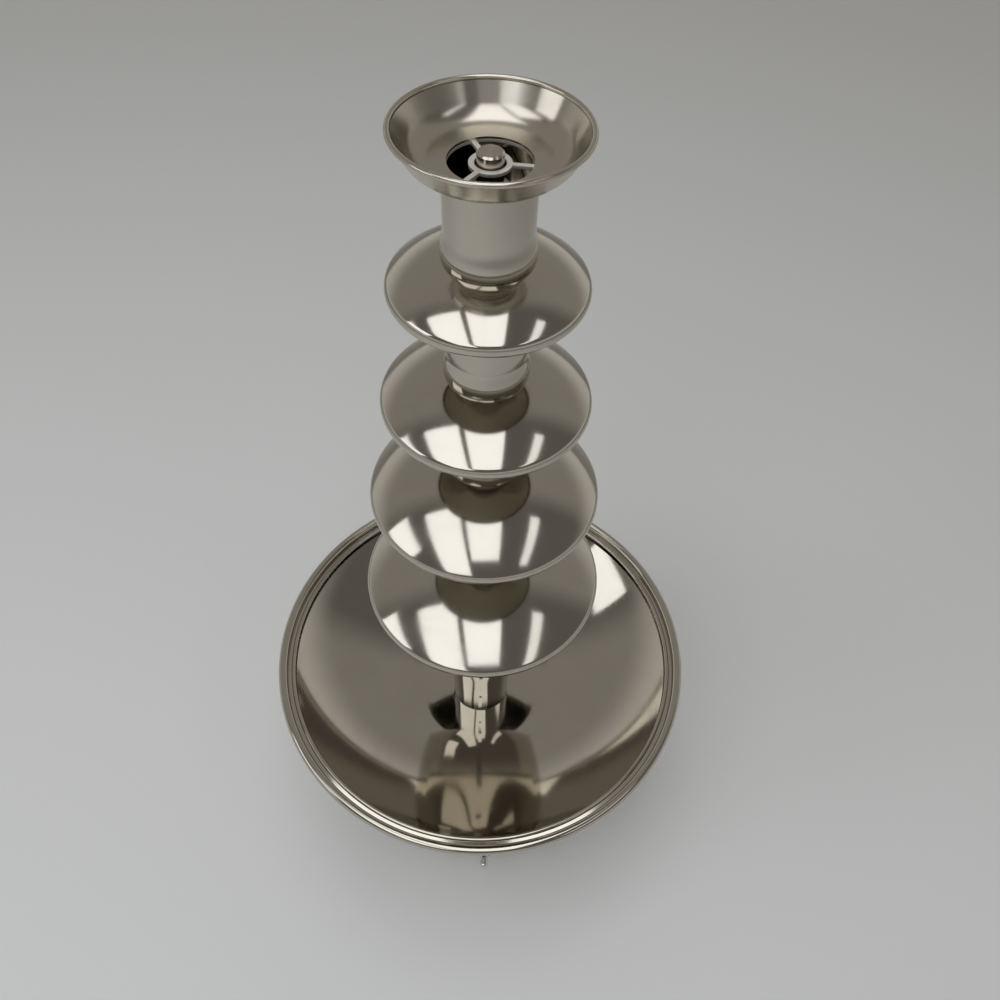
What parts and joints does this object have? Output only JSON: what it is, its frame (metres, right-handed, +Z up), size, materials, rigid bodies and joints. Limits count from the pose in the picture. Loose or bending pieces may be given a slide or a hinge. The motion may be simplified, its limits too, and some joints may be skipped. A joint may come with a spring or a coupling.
{
  "type": "chocolate fountain",
  "caption": "Stainless chocolate fountain: a screw auger lifts chocolate through a lift-off tower of spun domes from a heated bowl on a drum base with switches and a thermostat.",
  "frame": {"origin": "on the table under the tower's axis", "axes": "+Z up along the tower, -Y towards the front with the motor's toggle switch, +X to the right"},
  "size_m": [0.32, 0.3199, 0.6165],
  "materials": {
    "polished_steel": "mirror polished stainless steel",
    "satin_steel": "satin brushed stainless steel",
    "zinc_steel": "satin zinc plate",
    "chrome": "bright chrome plate",
    "black_plastic": "fine matte",
    "knob_plastic": "semi-gloss",
    "rubber": "matte",
    "brass": "plain",
    "cast_aluminium": "die cast",
    "motor_paint": "semi-gloss paint",
    "heater_sheath": "heat-browned sheath",
    "amber_lens": "clear moulded lens"
  },
  "bodies": {
    "base": {"bowl": "polished_steel", "bowl_hub": "zinc_steel", "hub_gasket": "rubber", "shaft_seal": "rubber", "shaft_bush": "brass", "hub_washer": "zinc_steel", "hub_nut": "zinc_steel", "base_drum": "satin_steel", "drum_seal": "rubber", "base_plate": "satin_steel", "feet": "rubber", "foot_screws": "zinc_steel", "foot_nuts": "zinc_steel", "tie_rods": "zinc_steel", "tie_screws": "zinc_steel", "motor_carrier": "satin_steel", "carrier_nuts": "zinc_steel", "gearbox": "cast_aluminium", "gearbox_screws": "zinc_steel", "motor_can": "motor_paint", "heater_ring": "heater_sheath", "heater_clips": "zinc_steel", "sensing_bulb": "brass", "overheat_cutout": "black_plastic", "motor_switch_body": "black_plastic", "motor_switch_bushing": "chrome", "motor_switch_nut": "chrome", "heat_switch_body": "black_plastic", "heat_switch_bushing": "chrome", "heat_switch_nut": "chrome", "thermostat_body": "black_plastic", "thermostat_nut": "zinc_steel", "pilot_lamp_holder": "black_plastic", "pilot_lamp_lens": "amber_lens", "inlet_frame": "black_plastic", "mains_inlet": "black_plastic", "inlet_pins": "brass", "inlet_screws": "zinc_steel"},
    "auger": {"auger_core": "satin_steel", "auger_flight": "satin_steel", "drive_shaft": "zinc_steel", "drive_pin": "zinc_steel"},
    "tier_4": {"dome_4": "polished_steel", "foot_tube": "polished_steel"},
    "tier_3": {"dome_3": "polished_steel", "section_tube_3": "polished_steel"},
    "tier_2": {"dome_2": "polished_steel", "section_tube_2": "polished_steel"},
    "tier_1": {"dome_1": "polished_steel", "section_tube_1": "polished_steel"},
    "crown": {"crown_dish": "polished_steel", "crown_tube": "polished_steel", "crown_guide": "satin_steel"},
    "motor_lever": {"motor_switch_lever": "chrome"},
    "heat_lever": {"heat_switch_lever": "chrome"},
    "thermostat_dial": {"thermostat_spindle": "zinc_steel", "thermostat_knob": "knob_plastic"}
  },
  "joints": [
    {"name": "auger_spin", "type": "hinge", "parent": "base", "child": "auger", "pos_m": [0, 0, 0.12], "axis": [0, 0, 1], "continuous": true},
    {"name": "tier_4_lift", "type": "slide", "parent": "base", "child": "tier_4", "axis": [0, 0, 1], "range_m": [0, 0.51]},
    {"name": "tier_3_lift", "type": "slide", "parent": "tier_4", "child": "tier_3", "axis": [0, 0, 1], "range_m": [0, 0.305]},
    {"name": "tier_2_lift", "type": "slide", "parent": "tier_3", "child": "tier_2", "axis": [0, 0, 1], "range_m": [0, 0.21]},
    {"name": "tier_1_lift", "type": "slide", "parent": "tier_2", "child": "tier_1", "axis": [0, 0, 1], "range_m": [0, 0.14]},
    {"name": "crown_lift", "type": "slide", "parent": "tier_1", "child": "crown", "axis": [0, 0, 1], "range_m": [0, 0.08]},
    {"name": "motor_switch_throw", "type": "hinge", "parent": "base", "child": "motor_lever", "pos_m": [0, -0.1208, 0.045], "axis": [0, 0, 1], "range_deg": [0, 26]},
    {"name": "heat_switch_throw", "type": "hinge", "parent": "base", "child": "heat_lever", "pos_m": [0.08977, -0.08083, 0.045], "axis": [0, 0, 1], "range_deg": [0, 26]},
    {"name": "thermostat_turn", "type": "hinge", "parent": "base", "child": "thermostat_dial", "pos_m": [-0.08249, -0.07427, 0.045], "axis": [0.7431, 0.6691, 0], "range_deg": [0, 270]}
  ]
}
